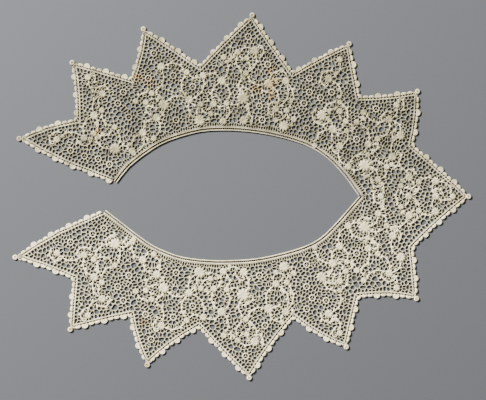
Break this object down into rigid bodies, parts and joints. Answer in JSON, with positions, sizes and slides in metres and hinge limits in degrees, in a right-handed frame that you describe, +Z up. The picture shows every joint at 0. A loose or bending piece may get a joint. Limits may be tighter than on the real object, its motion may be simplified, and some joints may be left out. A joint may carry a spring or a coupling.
{
  "type": "bertha collar",
  "caption": "Deep lace bertha collar laid flat, with pointed scalloped edges, raised blossoms, an open front and a corded neck edge.",
  "frame": {"origin": "middle of the laid-out collar, on the surface that it rests on", "axes": "+X from the open front to the centre back, +Y towards the upper half, +Z up out of the lace"},
  "size_m": [0.661, 0.53, 0.0021],
  "materials": {
    "field_thread": "matte ivory linen thread, worked as openwork needle lace",
    "edging_thread": "matte ivory linen thread, closely buttonholed scallops",
    "heading_thread": "matte ivory cord along the neck"
  },
  "bodies": {
    "root": {"lace_upper_front": "field_thread", "lace_upper_back": "field_thread", "lace_lower_front": "field_thread", "lace_lower_back": "field_thread", "edging_upper_front": "edging_thread", "edging_upper_back": "edging_thread", "edging_lower_front": "edging_thread", "edging_lower_back": "edging_thread", "heading_upper": "heading_thread", "heading_lower": "heading_thread"}
  },
  "joints": []
}
